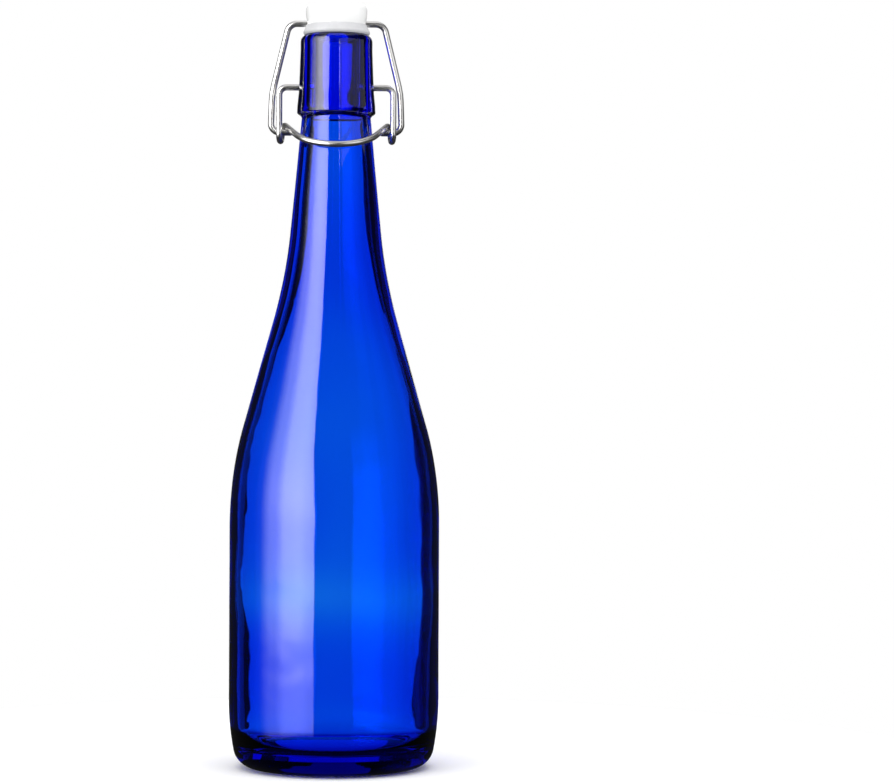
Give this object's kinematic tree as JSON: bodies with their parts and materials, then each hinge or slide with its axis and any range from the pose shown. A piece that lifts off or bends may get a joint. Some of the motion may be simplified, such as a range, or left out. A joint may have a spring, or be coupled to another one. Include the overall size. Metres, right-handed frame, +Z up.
{
  "type": "swing top bottle",
  "caption": "Tall round glass bottle with a long neck, closed by a plastic stopper that a hinged wire bail and an over-centre lever wire clamp on its lip.",
  "frame": {"origin": "centre of the flat ring that the bottle stands on", "axes": "+Z up along the bottle's axis to the stopper, -Y to the front where the finger ring is, +X along the pivot axis to the right"},
  "size_m": [0.084, 0.084, 0.3044],
  "materials": {
    "glass": "smooth clear cobalt blue glass",
    "stopper_plastic": "glossy white moulded plastic",
    "gasket_rubber": "smooth off-white silicone",
    "steel_wire": "bright drawn stainless wire"
  },
  "bodies": {
    "bottle": {"bottle": "glass"},
    "lever": {"lever_wire": "steel_wire"},
    "bail": {"bail_wire": "steel_wire"},
    "stopper": {"stopper": "stopper_plastic", "gasket": "gasket_rubber"}
  },
  "joints": [
    {"name": "lever_swing", "type": "hinge", "parent": "bottle", "child": "lever", "pos_m": [0, 0, 0.2713], "axis": [-1, 0, 0], "range_deg": [0, 200]},
    {"name": "bail_swing", "type": "hinge", "parent": "lever", "child": "bail", "pos_m": [0, 0.0032, 0.2535], "axis": [-1, 0, 0], "range_deg": [-109, 0]},
    {"name": "stopper_turn", "type": "hinge", "parent": "bail", "child": "stopper", "pos_m": [0, 0, 0.2967], "axis": [-1, 0, 0], "range_deg": [-93, 0]}
  ],
  "couplings": [
    {"joint": "bail_swing", "follows": "lever_swing", "ratio": -0.54},
    {"joint": "stopper_turn", "follows": "lever_swing", "ratio": -0.46}
  ]
}
